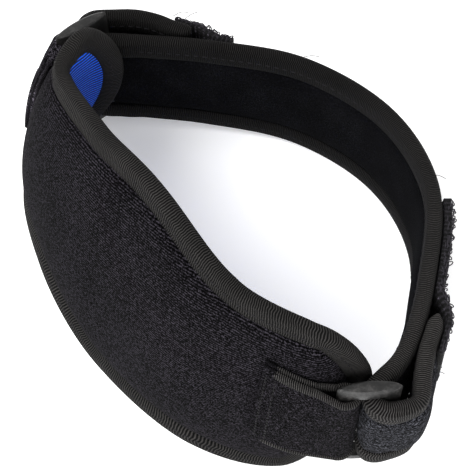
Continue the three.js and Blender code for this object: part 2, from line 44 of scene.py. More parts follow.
# Sizes in mm, as in the part's source.
GAP, TAPE, CONTACT = 0.3, 0.9, 0.45
LOOP = dict(half_width=70, back_depth=54, front_depth=31, lean=5, lean_start=43, dip=0.6, tuck=3,
            tuck_start=20, pinch=0.3)
STRAP = dict(height=38, thick=4.2, bind_width=7)
PAD = dict(rise=35, drop=34, edge_thick=4.6, bulge_out=4.8, bulge_in=1.6, lining=1.2, bind_width=6.5,
           end_round=15)
RING = dict(end_thick=4.0, tip_thick=1.5, bar=4.7, slot_width=7.2, end_bar=3.3, slot_clearance=0.8,
            bevel=1.1)
RING_TAB = dict(thick=1.5, height=38.4, seam_height=30, rise=9, tip_gap=0.9)
FOLD = dict(length=25, bulge=10.6)
HOOK = dict(thick=1.4, height=34, settle=9, lap=9, reach=36)
SIDES = {
    "left": dict(side=-1, x=1.014, y=0.0, turn=-2, fold=1.08, bulge=0.85, hook_lap=0.56, hook_reach=0.33,
                 tab_seam=0.155, tab_lift=0.13, tab_skew=-1, tab_rise=0.9),
    "right": dict(side=1, x=0.958, y=-0.065, turn=31, fold=1, bulge=1, hook_lap=1, hook_reach=1,
                  tab_seam=0.83, tab_lift=0.91, tab_skew=0.5, tab_rise=0.6),
}
BACK_ROWS = [(-0.932, 0.115), (-0.845, 0.25), (-0.68, 0.495), (-0.38, 0.84), (0.01, 1.0), (0.37, 0.905),
             (0.69, 0.55), (0.86, 0.28), (0.92, 0.12)]
# Pad's sections: x, y, reach above, reach below, slant in degrees.
PAD_ROWS = [
    (-0.85, 0.15, 0.92, 0.28, 1),
    (-0.9, -0.22, 0.96, 0.43, 4),
    (-0.83, -0.755, 0.945, 0.64, 12),
    (-0.45, -1.045, 1.02, 0.735, 19),
    (-0.055, -1.025, 1.08, 0.99, 18),
    (0.42, -0.88, 0.94, 0.955, 15),
    (0.715, -0.445, 1.0, 1.08, 2.5),
    (0.832, -0.085, 0.95, 0.66, -3),
    (0.858, 0.07, 0.84, 0.4, -4),
]
FOLD_ALONG = [0.16, 0.4, 0.62, 0.82, 1.0]
FOLD_ROWS = {"left": [0.9, 1.0, 0.75, 0.25, 0.0], "right": [1.0, 0.38, 0.05, 0.0, 0.0]}
WRAP_ANGLES = [100, 72, 48, 22, -6, -35]    # The strap's way round a ring's far bar, in degrees.
PATH_SAMPLES = 14                           # Rows of the strap's mesh to each span of its path.

# How the built loop is set down: a turn, then a shift in mm.
REST_TURN = np.array(Quaternion((0.9945397, -0.0995296, -0.0313800, 0.0000756)).to_matrix())
REST_SHIFT = np.array([0.8331, -4.6606, 28.9783])

RANDOM = np.random.default_rng(7)


# Curves and placing

class Curve:
    """Centripetal Catmull-Rom curve through points."""

    def __init__(self, points):
        self.points = np.array(points, float)
        self.grid = np.linspace(0, 1, 201)
        self.lengths = run_length(self.at(self.grid))
        self.length = self.lengths[-1]

    def at(self, t):
        t = np.clip(np.atleast_1d(np.asarray(t, float)), 0, 1)
        points = self.points
        ends = np.vstack([2 * points[0] - points[1], points, 2 * points[-1] - points[-2]])
        place = t * (len(points) - 1)
        i = np.minimum(place.astype(int), len(points) - 2)
        w = (place - i)[:, None]
        p0, p1, p2, p3 = (ends[i + k] for k in range(4))
        spans = (p0, p1), (p1, p2), (p2, p3)
        d0, d1, d2 = (np.sqrt(np.linalg.norm(b - a, axis=1))[:, None] for a, b in spans)
        m1 = ((p1 - p0) / d0 - (p2 - p0) / (d0 + d1) + (p2 - p1) / d1) * d1
        m2 = ((p2 - p1) / d1 - (p3 - p1) / (d1 + d2) + (p3 - p2) / d2) * d1
        return p1 + m1 * w + (3 * (p2 - p1) - 2 * m1 - m2) * w ** 2 + (2 * (p1 - p2) + m1 + m2) * w ** 3

    def t_at(self, share):
        return np.interp(np.asarray(share, float) * self.length, self.lengths, self.grid)

    def tangent(self, t):
        t = np.atleast_1d(np.asarray(t, float))
        return unit(self.at(np.minimum(t + 1e-4, 1)) - self.at(np.maximum(t - 1e-4, 0)))


def smooth(x):
    x = np.clip(x, 0, 1)
    return x * x * (3 - 2 * x)


def rising(x, start, run):
    """0 up to start, then smoothly up to 1 within run."""
    return smooth((x - start) / run)


def unit(vectors):
    return vectors / np.linalg.norm(vectors, axis=-1, keepdims=True)


def at_length(distance, lengths, points):
    """Point of a line at a distance along it."""
    return np.stack([np.interp(distance, lengths, column) for column in points.T], axis=-1)


def run_length(points):
    """Length run at each of a line's points."""
    return np.concatenate([[0], np.cumsum(np.linalg.norm(np.diff(points, axis=0), axis=1))])


def right_of(tangent):
    return np.stack([tangent[..., 1], -tangent[..., 0]], axis=-1)


def leaned(x, y, z):
    """Built place of an upright point: lower edges tip forward and the right joint's foot tucks in."""
    lean = math.tan(math.radians(LOOP["lean"])) * np.clip(1 - y / LOOP["lean_start"], 0, 1)
    dip = LOOP["dip"] * np.maximum(0, 1 - y / LOOP["lean_start"]) ** 2
    pinch = LOOP["pinch"] * np.maximum(0, x - LOOP["half_width"]) / STRAP["height"]
    tuck = math.tan(math.radians(LOOP["tuck"])) * np.clip(1 - y / LOOP["tuck_start"], 0, 1) * (x > 0)
    return np.stack([x - (tuck + pinch) * (STRAP["height"] / 2 - z), y - lean * z, z - dip], axis=-1)


def placed(points):
    """Built mm to metres in the row frame, resting on the floor."""
    world = np.asarray(points) @ REST_TURN.T + REST_SHIFT
    world[..., 2] = np.maximum(world[..., 2], 0)
    return world * MM


def beside(points, side, offset, z):
    """Row place of points moved sideways in the built plan, at a height."""
    return placed(leaned(points[..., 0] + side[..., 0] * offset, points[..., 1] + side[..., 1] * offset, z))


# Rings, and the cloth's way round their bars

RING_WIDTH = RING["slot_width"] + 2 * RING["bar"]
BAR_CENTRE = (RING["slot_width"] + RING["bar"]) / 2


def lens_thick(v):
    return RING["end_thick"] + (RING["tip_thick"] - RING["end_thick"]) * (2 * v / RING_WIDTH) ** 2


def ring_axes(row):
    turn = math.radians(row["turn"])
    centre = np.array([row["x"] * row["side"] * LOOP["half_width"], row["y"] * LOOP["back_depth"]])
    far = np.array([row["side"] * math.sin(turn), math.cos(turn)])
    out = np.array([row["side"] * math.cos(turn), -math.sin(turn)])
    return centre, far, out


def round_bar(row, toward, thick, degrees):
    centre, far, out = ring_axes(row)
    angle = math.radians(degrees)
    reach = RING["bar"] / 2 + GAP + thick / 2
    rise = lens_thick(RING["slot_width"] / 2) / 2 + GAP + thick / 2
    return centre + far * toward * (BAR_CENTRE - reach * math.cos(angle)) + out * rise * math.sin(angle)


# Back strap

def strap_at_bar(name, degrees):
    return round_bar(SIDES[name], 1, STRAP["thick"], degrees)


BACK_POINTS = [np.array([x * LOOP["half_width"], y * LOOP["back_depth"]]) for x, y in BACK_ROWS]
BACK_CURVE = Curve([
    strap_at_bar("left", WRAP_ANGLES[-1]), *BACK_POINTS, strap_at_bar("right", WRAP_ANGLES[-1]),
])
FOLD_REST = STRAP["thick"] + CONTACT


def fold_length(name):
    return SIDES[name]["fold"] * FOLD["length"]


def fold_offset(name, along):
    """How far the fold-back's middle stands off the strap's, at a share along the fold-back."""
    i = np.clip(np.searchsorted(FOLD_ALONG, along, side="left") - 1, 0, 3)
    rows, places = np.array(FOLD_ROWS[name]), np.array(FOLD_ALONG)
    share = smooth((along - places[i]) / (places[i + 1] - places[i]))
    bulge = SIDES[name]["bulge"] * FOLD["bulge"]
    return FOLD_REST + (bulge - FOLD_REST) * (rows[i] + (rows[i + 1] - rows[i]) * share)


def beside_strap(name, distance, offset):
    share = np.asarray(distance) / BACK_CURVE.length
    t = BACK_CURVE.t_at(share if SIDES[name]["side"] < 0 else 1 - share)
    return BACK_CURVE.at(t) - right_of(BACK_CURVE.tangent(t)) * np.asarray(offset)[..., None]


def strap_path():
    along = np.array(FOLD_ALONG)
    folds = {
        name: beside_strap(name, along * fold_length(name), fold_offset(name, along)) for name in SIDES
    }
    left = [strap_at_bar("left", angle) for angle in WRAP_ANGLES]
    right = [strap_at_bar("right", angle) for angle in reversed(WRAP_ANGLES)]
    keys = [*folds["left"][::-1], *left, *BACK_POINTS, *right, *folds["right"]]
    curve = Curve(keys)
    t = np.linspace(0, 1, PATH_SAMPLES * (len(keys) - 1) + 1)
    points = curve.at(t)
    return points, right_of(curve.tangent(t)), run_length(points)


PATH, PATH_SIDE, PATH_LENGTH = strap_path()


def strap_point(distance, n, z):
    """Point beside the strap's middle: n towards the plush face, z up."""
    point, side = (at_length(distance, PATH_LENGTH, line) for line in (PATH, PATH_SIDE))
    return beside(point, side, n, z)


# Pad

PAD_CURVE = Curve([(x * LOOP["half_width"], y * LOOP["front_depth"]) for x, y, *_ in PAD_ROWS])
PAD_REACH = Curve([(up * PAD["rise"], down * PAD["drop"], slant) for _, _, up, down, slant in PAD_ROWS])
PAD_LENGTH = PAD_CURVE.length


def pad_frame(along):
    """Base point, up and outward directions, and reach above and below, at places along the pad."""
    along = np.asarray(along, float)
    share = np.clip(along / PAD_LENGTH, 0, 1)
    t = PAD_CURVE.t_at(share)
    tangent = PAD_CURVE.tangent(t)
    out = right_of(tangent)
    rise, drop, slant = PAD_REACH.at(t).T
    slant = np.radians(slant)
    base = PAD_CURVE.at(t) + tangent * (along - share * PAD_LENGTH)[:, None]
    zero = np.zeros(len(along))
    base = np.column_stack([base, zero])
    out3 = np.column_stack([out, zero])
    up = -out3 * np.sin(slant)[:, None] + np.outer(np.cos(slant), [0, 0, 1])
    normal = out3 * np.cos(slant)[:, None] + np.outer(np.sin(slant), [0, 0, 1])
    return base, up, normal, rise, drop


def pad_point(along, height, depth):
    """Point of the pad: along it from the left tip, height up it and depth outward through it."""
    along, height, depth = np.broadcast_arrays(np.asarray(along, float), height, depth)
    base, up, normal, _, _ = pad_frame(along.ravel())
    points = base + up * height.ravel()[:, None] + normal * depth.ravel()[:, None]
    return placed(points).reshape(*along.shape, 3)


def pad_edge(along):
    """Top and bottom of the pad's outline at places along it."""
    _, _, _, rise, drop = pad_frame(along)
    from_tip = np.minimum(np.minimum(along, PAD_LENGTH - along), PAD["end_round"]) / PAD["end_round"]
    full = np.sqrt(np.maximum(0, 1 - (1 - from_tip) ** 2))
    middle, half = (rise - drop) / 2, (rise + drop) / 2 * full
    return middle + half, middle - half


def pad_stations(per_end=14, middle=90):
    angles = np.radians(np.linspace(0, 90, per_end))
    ends = PAD["end_round"] * (1 - np.cos(angles))
    inner = PAD["end_round"] + (PAD_LENGTH - 2 * PAD["end_round"]) * np.arange(1, middle) / middle
    return np.concatenate([ends, inner, PAD_LENGTH - ends[::-1]])


STATIONS = pad_stations()


def pad_outline():
    top, bottom = pad_edge(STATIONS)
    upper = np.column_stack([STATIONS, top])
    lower = np.column_stack([STATIONS, bottom])[1:-1][::-1]
    return np.vstack([upper, lower])


OUTLINE = pad_outline()
EDGE_RUN = unit(np.roll(OUTLINE, -1, axis=0) - np.roll(OUTLINE, 1, axis=0))


def inset(distance):
    """The pad's outline moved inward."""
    return OUTLINE + right_of(EDGE_RUN) * distance


def swell(height, across):
    """Share of the pad's full bulge, across a section of a height."""
    tall = np.minimum(1, height / (PAD["rise"] + PAD["drop"] - 2 * PAD["bind_width"]))
    return np.maximum(0, 4 * across * (1 - across)) ** 0.7 * tall ** 1.3


def outer_depth(along, height):
    """Depth of the pad's outer face, where the ring tabs lie on it."""
    _, _, _, rise, drop = pad_frame(along)
    top, bottom = rise - PAD["bind_width"], -drop + PAD["bind_width"]
    across = np.clip((top - height) / (top - bottom), 0, 1)
    return PAD["edge_thick"] / 2 + PAD["bulge_out"] * swell(top - bottom, across)


# Mesh making

def new_object(name, vertices, faces, uvs=None):
    mesh = bpy.data.meshes.new(name)
    mesh.from_pydata([tuple(v) for v in vertices], [], faces)
    if uvs:
        layer = mesh.uv_layers.new(name="UVMap")
        corner = np.array([uv for face in uvs for uv in face], float)
        layer.data.foreach_set("uv", corner.ravel())
    mesh.polygons.foreach_set("use_smooth", [True] * len(mesh.polygons))
    mesh.validate()
    return linked(name, mesh)


def linked(name, data):
    made = bpy.data.objects.new(name, data)
    bpy.context.scene.collection.objects.link(made)
    return made


def skin(name, grid, u=None, v=None, closed=False):
    """Tube over a grid of points [row, column], with u along the rows and v round the columns in mm, if
    they are given. closed joins the last row to the first. Otherwise both ends are capped."""
    rows, cols = grid.shape[:2]
    faces, uvs = [], []
    for i in range(rows if closed else rows - 1):
        for j in range(cols):
            i2, j2 = (i + 1) % rows, (j + 1) % cols
            faces.append((i * cols + j, i * cols + j2, i2 * cols + j2, i2 * cols + j))
            if u is not None:
                u2, v2 = u[i + 1], v[j + 1]
                uvs.append(((u[i], v[j]), (u[i], v2), (u2, v2), (u2, v[j])))
    if not closed:
        first = tuple(range(cols - 1, -1, -1))
        faces += [first, tuple((rows - 1) * cols + j for j in range(cols))]
        if u is not None:
            uvs += [[(u[0], v[j]) for j in first], [(u[-1], v[j]) for j in range(cols)]]
    return outward(new_object(name, grid.reshape(-1, 3), faces, uvs))


def outward(piece, merge=0.0):
    """Turns a closed piece's faces outward, and first joins points closer than merge."""
    mesh = bmesh.new()
    mesh.from_mesh(piece.data)
    if merge:
        bmesh.ops.remove_doubles(mesh, verts=mesh.verts, dist=merge)
    bmesh.ops.recalc_face_normals(mesh, faces=mesh.faces)
    mesh.to_mesh(piece.data)
    mesh.free()
    return piece


ROLL_WALL = TAPE - 0.15     # thickness of a folded tape
ROLL_CREST = 0.75           # how far its crest reaches, as a share of a half circle
ROLL_HEM = 1.4              # from its hem to where it lies full


def rolled_section(thick, width, count=18):
    """A tape folded over an edge, as (n, depth from the edge) points and the way across it."""
    out, wall = thick / 2, ROLL_WALL
    angle = np.linspace(0, math.pi, count)
    crest = np.column_stack([out * np.cos(angle), out * ROLL_CREST * (1 - np.sin(angle))])
    hem = [(out - 0.25, width), (out - 0.02, width - ROLL_HEM)]
    side = [*hem, (out + 0.22, width * 0.62), (out + 0.12, width * 0.36)]
    outer = np.vstack([side, crest, [(-n, d) for n, d in side[::-1]]])
    inner = np.array([(-out + wall, width), (-out + wall, wall), (out - wall, wall), (out - wall, width)])
    loop = np.vstack([outer, inner])
    return loop, run_length(np.vstack([loop, loop[:1]]))


STITCH_PROFILE = [(-1.0, 0.0), (-0.62, 0.75), (0.0, 1.0), (0.62, 0.75), (1.0, 0.0)]
STITCH_SIZES = [(0.0, 0.35), (0.25, 1.0), (0.75, 1.0), (1.0, 0.35)]     # share along a stitch, size there
STITCH_SINK = 0.2


def stitches(name, runs, radius=0.22):
    """Low rounded beads, open underneath, each from a start to an end and raised along up."""
    vertices, faces = [], []
    for a, b, up in runs:
        up = unit(up)
        side = unit(np.cross(unit(b - a), up))
        base = len(vertices)
        for share, size in STITCH_SIZES:
            centre = a + (b - a) * share
            for s, h in STITCH_PROFILE:
                vertices.append(centre + (side * s + up * (h * size - STITCH_SINK)) * radius * MM * size)
        columns = len(STITCH_PROFILE)
        for i in range(len(STITCH_SIZES) - 1):
            for j in range(columns - 1):
                k = base + i * columns + j
                faces.append((k, k + 1, k + columns + 1, k + columns))
    return new_object(name, vertices, faces)


def tubes(name, lines, radius, sides=6):
    """Thin round threads along lists of points in metres."""
    vertices, faces = [], []
    for line in lines:
        line = np.asarray(line)
        base = len(vertices)
        for i, point in enumerate(line):
            run = unit(line[min(i + 1, len(line) - 1)] - line[max(i - 1, 0)])
            side = unit(np.cross(run, [0.3, 0.2, 0.93]))
            up = np.cross(side, run)
            for k in range(sides):
                angle = 2 * math.pi * k / sides
                vertices.append(point + (side * math.cos(angle) + up * math.sin(angle)) * radius * MM)
        for i in range(len(line) - 1):
            for k in range(sides):
                a, b = base + i * sides + k, base + i * sides + (k + 1) % sides
                faces.append((a, b, b + sides, a + sides))
        faces.append(tuple(base + k for k in range(sides))[::-1])
        faces.append(tuple(base + (len(line) - 1) * sides + k for k in range(sides)))
    return new_object(name, vertices, faces)


# Materials

class Graph:
    """Small helper for building a material's nodes."""

    def __init__(self, name):
        self.material = bpy.data.materials.new(name)
        self.material.use_nodes = True
        self.tree = self.material.node_tree
        self.shader = self.tree.nodes["Principled BSDF"]
        coordinates = self.tree.nodes.new("ShaderNodeTexCoord")
        self.uv, self.place = coordinates.outputs["UV"], coordinates.outputs["Object"]

    def node(self, kind, inputs=None, **settings):
        made = self.tree.nodes.new(kind)
        for key, value in settings.items():
            setattr(made, key, value)
        for key, value in (inputs or {}).items():
            self.feed(made.inputs[key], value)
        return made

    def feed(self, socket, value):
        if isinstance(value, bpy.types.NodeSocket):
            self.tree.links.new(value, socket)
        else:
            socket.default_value = value

    def math(self, operation, a, b=0.0, clamp=False):
        return self.node("ShaderNodeMath", {0: a, 1: b}, operation=operation, use_clamp=clamp).outputs[0]

    def mix(self, *parts):
        """Sum of values, each times its share."""
        total = None
        for value, share in parts:
            part = value if share == 1 else self.math("MULTIPLY", value, share)
            total = part if total is None else self.math("ADD", total, part)
        return total

    def noise(self, vector, scale, detail=2.0, roughness=0.5, distortion=0.0):
        return self.node("ShaderNodeTexNoise", {
            "Vector": vector, "Scale": scale, "Detail": detail, "Roughness": roughness,
            "Distortion": distortion,
        }).outputs["Fac"]

    def worms(self, vector, scale, sharpness):
        """Thin winding lines, like curled fibres."""
        off = self.math("ABSOLUTE", self.math("SUBTRACT", self.noise(vector, scale, 1.0, 0.5, 0.6), 0.5))
        return self.math("SUBTRACT", 1.0, self.math("MULTIPLY", off, sharpness), clamp=True)

    def stretched(self, vector, scale=(1, 1, 1), turn=0.0):
        inputs = {"Vector": vector, "Scale": scale, "Rotation": (0, 0, turn)}
        return self.node("ShaderNodeMapping", inputs).outputs[0]

    def ribs(self, vector, pitch, direction="X", distortion=0.0, detail_scale=1.0):
        """Bands across a direction, one to each pitch."""
        return self.node("ShaderNodeTexWave", {
            "Vector": vector, "Scale": math.pi / (10 * pitch), "Distortion": distortion,
            "Detail": 2.0, "Detail Scale": detail_scale,
        }, wave_type="BANDS", bands_direction=direction, wave_profile="SIN").outputs["Fac"]

    def ramp(self, value, stops):
        made = self.node("ShaderNodeValToRGB", {"Fac": value})
        elements = made.color_ramp.elements
        while len(elements) < len(stops):
            elements.new(0.5)
        for element, (position, colour) in zip(elements, stops):
            element.position = position
            element.color = (*colour, 1)
        return made.outputs["Color"]

    def bump(self, height, distance, strength=1.0):
        inputs = {"Height": height, "Distance": distance * MM, "Strength": strength}
        return self.node("ShaderNodeBump", inputs).outputs["Normal"]

    def finish(self, colour, normal, roughness=0.9, sheen=0.0, specular=0.25):
        self.feed(self.shader.inputs["Base Color"], colour)
        self.feed(self.shader.inputs["Normal"], normal)
        self.feed(self.shader.inputs["Roughness"], roughness)
        self.shader.inputs["Sheen Weight"].default_value = sheen
        self.shader.inputs["Sheen Roughness"].default_value = 0.5
        self.shader.inputs["Specular IOR Level"].default_value = specular
        return self.material


NEUTRAL = (1, 1, 1)
VIOLET = (1.04, 0.93, 1.17)
WARM = (1.05, 0.99, 0.96)
NAVY = (0.93, 0.95, 1.12)


def shades(tint, *stops):
    """Stops of a ramp, each at its place and grey times the tint."""
    return [(place, tuple(value * part for part in tint)) for place, value in stops]


def loop_fabric(name, wale, curl, thread, gain):
    """Brushed loop cloth: fine slanting wales broken by curls and winding light threads."""
    g = Graph(name)
    wales = g.ribs(g.stretched(g.uv, turn=-0.12), 0.66, "Y", distortion=3.0, detail_scale=1.3)
    curls = g.noise(g.stretched(g.uv, (1.0, 1.4, 1.0)), 1.7, 2.0, 0.7, 0.8)
    threads = g.worms(g.uv, 1.25, 10.0)
    lint = g.noise(g.place, 1300, 2.0, 0.6)
    broad = g.noise(g.place, 60, 2.0)
    pile = g.mix((wales, wale), (curls, curl), (threads, thread))
    stops = [(0.62, 0.0005), (0.74, 0.0035), (0.86, 0.023), (0.96, 0.11)]
    colour = g.ramp(
        g.mix((pile, 1), (lint, 0.3), (broad, 0.12)),
        shades(VIOLET, *((place, value * gain) for place, value in stops)),
    )
    return g.finish(colour, g.bump(pile, 0.5), 0.95, sheen=0.01, specular=0.02)


def ribbed_tape(name, pitch, bend_by, stops, painted_shade=None):
    """Ribbed knit tape: narrow ribs across its run, bending over the roll.
    The last argument, if given, holds where along the tape its painted shade, a darker stretch, ends, where
    full colour starts, and the share of colour in that stretch."""
    g = Graph(name)
    bend = g.noise(g.stretched(g.uv, (0.12, 0.35, 1.0)), 1.0, 1.0)
    shift = g.node("ShaderNodeCombineXYZ", {"X": g.math("MULTIPLY", bend, bend_by)}).outputs[0]
    skewed = g.node("ShaderNodeVectorMath", {0: g.uv, 1: shift}, operation="ADD").outputs[0]
    ribs = g.ribs(skewed, pitch, "X", distortion=0.3)
    fibres = g.noise(g.stretched(g.uv, (2.2, 0.8, 1.0)), 1.6, 2.0, 0.6)
    broad = g.noise(g.place, 90, 1.0)
    colour = g.ramp(g.mix((ribs, 0.62), (fibres, 0.42), (broad, 0.16)), stops)
    # Painted shade: the tape is darker along its first stretch, fading to full colour.
    if painted_shade:
        along = g.node("ShaderNodeSeparateXYZ", {"Vector": g.uv}).outputs["X"]
        start, end, share = painted_shade
        limits = {"Value": along, "From Min": start, "From Max": end, "To Min": share}
        gain = g.node("ShaderNodeMapRange", limits).outputs[0]
        colour = g.node("ShaderNodeVectorMath", {0: colour, "Scale": gain}, operation="SCALE").outputs[0]
    return g.finish(colour, g.bump(ribs, 0.25), 0.8, sheen=0.01, specular=0.06)


def plush_lining():
    """Short navy-black plush."""
    g = Graph("plush_lining")
    pile = g.noise(g.stretched(g.uv, (1.5, 0.9, 1.0)), 2.2, 3.0, 0.65, 0.8)
    patches = g.noise(g.place, 120, 2.0)
    shade = g.mix((pile, 0.9), (patches, 0.15))
    colour = g.ramp(shade, shades(NAVY, (0.42, 0.001), (0.58, 0.0045), (0.72, 0.018)))
    return g.finish(colour, g.bump(pile, 0.4, 0.8), 1.0, sheen=0.006, specular=0.01)


def painted_lit_plush():
    """The same plush where it turns outward, as a lighter copy: painted light, with a coarser bluish
    speckled pile.
    """
    g = Graph("painted_lit_plush")
    pile = g.noise(g.stretched(g.uv, (1.3, 0.9, 1.0)), 1.8, 2.0, 0.65, 0.8)
    threads = g.worms(g.uv, 1.3, 9.0)
    shade = g.mix((pile, 0.9), (threads, 0.3))
    colour = g.ramp(shade, shades(NAVY, (0.36, 0.001), (0.52, 0.006), (0.66, 0.026), (0.8, 0.08)))
    return g.finish(colour, g.bump(shade, 0.5), 1.0, sheen=0.01, specular=0.02)


def blue_knit():
    """Bright blue lining with fine slanting ribs."""
    g = Graph("blue_knit")
    ribs = g.ribs(g.stretched(g.uv, turn=1.38), 1.08, "X", distortion=0.9)
    fibres = g.noise(g.uv, 1.6, 2.0)
    colour = g.ramp(g.mix((ribs, 0.7), (fibres, 0.4)), [
        (0.32, (0.0001, 0.002, 0.035)), (0.56, (0.0003, 0.02, 0.27)), (0.8, (0.0015, 0.09, 0.8)),
        (0.98, (0.02, 0.24, 1.0)),
    ])
    return g.finish(colour, g.bump(ribs, 0.25, 0.9), 0.7, sheen=0.02, specular=0.15)


def hook_tape():
    """Black hook tape: a stiff backing with rows of tiny hooks and tufts."""
    g = Graph("hook_tape")
    rows = g.ribs(g.uv, 1.3, "X", distortion=1.5)
    tufts = g.noise(g.uv, 1.5, 3.0, 0.7, 0.8)
    hooks = g.worms(g.uv, 1.0, 10.0)
    shade = g.mix((rows, 0.22), (tufts, 0.7), (hooks, 0.2))
    stops = shades(NEUTRAL, (0.42, 0.0005)) + shades(VIOLET, (0.56, 0.003), (0.68, 0.018), (0.85, 0.12))
    colour = g.ramp(shade, stops)
    return g.finish(colour, g.bump(shade, 0.5, 0.9), 0.8, sheen=0.02, specular=0.15)


def ring_plastic():
    """Moulded dark plastic: faint grain, scuffs and a satin gloss."""
    g = Graph("ring_plastic")
    grain = g.noise(g.place, 1500, 3.0, 0.7)
    scuffs = g.noise(g.stretched(g.place, (450, 450, 90)), 1.0, 4.0, 0.7)
    shade = g.mix((grain, 0.4), (scuffs, 0.6))
    colour = g.ramp(shade, shades(WARM, (0.38, 0.001), (0.5, 0.006), (0.64, 0.028)))
    roughness = g.node("ShaderNodeMapRange", {"Value": scuffs, "To Min": 0.35, "To Max": 0.6}).outputs[0]
    return g.finish(colour, g.bump(shade, 0.06, 0.8), roughness, specular=0.4)


def thread(name, value):
    """Twisted sewing thread."""
    g = Graph(name)
    fibres = g.noise(g.place, 3500, 2.0)
    colour = g.ramp(fibres, shades(VIOLET, (0.35, value * 0.5), (0.7, value)))
    return g.finish(colour, g.bump(fibres, 0.1, 0.5), 0.7, sheen=0.02, specular=0.15)


LOOP_FABRIC = loop_fabric("loop_fabric", wale=0.24, curl=0.76, thread=0.2, gain=0.3)
TAB_FABRICS = {
    "right": loop_fabric("tab_fabric", wale=0.08, curl=0.66, thread=0.42, gain=0.3),
    # The left tab's cloth is a lighter copy of the right's (gain 1.3 against 0.3): painted light, where the
    # pad's bulge shades it.
    "left": loop_fabric("painted_light_tab_fabric", wale=0.08, curl=0.66, thread=0.42, gain=1.3),
}
TAPE_STOPS = [(0.3, 0.0005), (0.55, 0.0045), (0.75, 0.015), (0.95, 0.036)]
BINDING = ribbed_tape("binding_tape", 0.74, 1.6, shades(WARM, *TAPE_STOPS))
# The strap's tape is painted 1.5 times lighter than the pad's, painted light for its lit right fold-back.
# Painted shade darkens it to 0.3 of that up to 115 mm from the left fold-back's end, fading out by 225 mm.
STRAP_BINDING = ribbed_tape(
    "strap_binding_tape", 0.56, 1.2, shades(WARM, *((place, 1.5 * value) for place, value in TAPE_STOPS)),
    painted_shade=(115, 225, 0.3),
)
OVERLOCK = ribbed_tape(
    "overlocked_edge", 0.62, 0.5, shades(WARM, (0.35, 0.0005), (0.6, 0.005), (0.8, 0.027), (1.0, 0.075)),
)
PLUSH = plush_lining()
PAINTED_LIT_PLUSH = painted_lit_plush()
BLUE = blue_knit()
HOOK_TAPE = hook_tape()
PLASTIC = ring_plastic()
DARK_THREAD = thread("dark_thread", 0.007)
SEAM_THREAD = thread("seam_thread", 0.003)
LOOP_THREAD = thread("loop_thread", 0.03)


def dress(piece, slot, *materials, replaces=()):
    """Gives a piece its materials and its place in the row."""
    for material in materials:
        piece.data.materials.append(material)
    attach(piece, "root")
    if replaces:
        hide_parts(*replaces)
    return piece


# Building the strap

def from_end(distance):
    """Distance from the nearer fold-back's end."""
    return np.minimum(distance, PATH_LENGTH[-1] - distance)


END_RADIUS, END_LEAST = 3, 0.12     # the fold-backs' rounded ends: their reach, and what is left there
END_ROUND = np.sqrt(np.clip(
    1 - (1 - np.minimum(from_end(PATH_LENGTH), END_RADIUS) / END_RADIUS) ** 2, END_LEAST, 1,
))

# Along the strap, from the nearer fold-back's end: where a change starts, and how long it takes.
FOLD_FULL, SLOT_IN, SLOT_OUT, BEHIND = (5, 6), (26, 5), (46, 6), (50, 8)
RIGHT_FADE = (80, 40)
SWELL = dict(folded=1.9, in_slot=0.6, behind=0.4, behind_right=0.8)
PAINTED_LIT_REACH = 42      # up to here the plush faces outward and takes its lighter copy, painted light


def in_slot(distance):
    """1 where the strap turns through a ring's slot, 0 away from it."""
    end = from_end(distance)
    return rising(end, *SLOT_IN) * (1 - rising(end, *SLOT_OUT))


def plush_swell(distance):
    """How far the plush stands out between the tapes where it turns through a ring and folds back."""
    end, from_right = from_end(distance), PATH_LENGTH[-1] - distance
    folded = SWELL["folded"] * rising(end, *FOLD_FULL) * (1 - rising(end, *SLOT_IN))
    near_right = rising(from_right, *BEHIND) * (1 - rising(from_right, *RIGHT_FADE))
    behind = SWELL["behind"] * rising(end, *BEHIND) + SWELL["behind_right"] * near_right
    return folded + behind + SWELL["in_slot"] * in_slot(distance)


BODY = dict(edge_in=1.4, lap=0.6, columns=17, under_tape=0.2, flat=0.45, crown=0.55)
RIPPLE = dict(depth=0.12, short=9.0, long=23.0)


def build_strap():
    """The strap's padded body: plush on one face, loop cloth on the other, its edges under the tapes."""
    half, out = STRAP["height"] / 2, STRAP["thick"] / 2
    field = half - STRAP["bind_width"]
    lapped = field + BODY["lap"]
    edge = half - BODY["edge_in"]
    z = np.concatenate([[-edge], np.linspace(-lapped, lapped, BODY["columns"]), [edge]])
    fullness = np.clip(1 - (np.abs(z) / lapped) ** 4, 0, 1)
    shown = out - BODY["flat"] + BODY["crown"] * fullness
    face = np.where(np.abs(z) > field, out - TAPE - BODY["under_tape"], shown)
    n = np.concatenate([face, -face[::-1]])
    zz = np.concatenate([z, z[::-1]])
    full = np.concatenate([fullness, 0 * fullness])
    short, long = np.sin(PATH_LENGTH / RIPPLE["short"]), np.sin(PATH_LENGTH / RIPPLE["long"] + 1)
    ripple = RIPPLE["depth"] * short * long
    swollen = plush_swell(PATH_LENGTH)
    grid = np.stack([
        strap_point(PATH_LENGTH, (n_j + ripple * np.sign(n_j) + swollen * full_j) * END_ROUND, z_j)
        for n_j, z_j, full_j in zip(n, zz, full)
    ], axis=1)
    v = run_length(np.column_stack([n, zz]))
    body = skin("strap_body", grid, PATH_LENGTH, np.append(v, v[-1] + 2 * out))
    dress(body, "plush_lining", PLUSH, LOOP_FABRIC, PAINTED_LIT_PLUSH, replaces=["strap_core"])
    count = len(n)
    place = np.arange(len(body.data.polygons))
    row = np.minimum(place // count, len(PATH_LENGTH) - 1)
    # The outward plush at the fold-backs gets its lighter copy, painted light.
    plush = np.where(from_end(PATH_LENGTH[row]) < PAINTED_LIT_REACH, 2, 0)
    index = np.where(place % count >= count // 2, 1, plush).astype(np.int32)
    body.data.polygons.foreach_set("material_index", index)


SLOT_TAPE = 0.5     # how much thicker the tape lies on its plush side where it turns through a slot


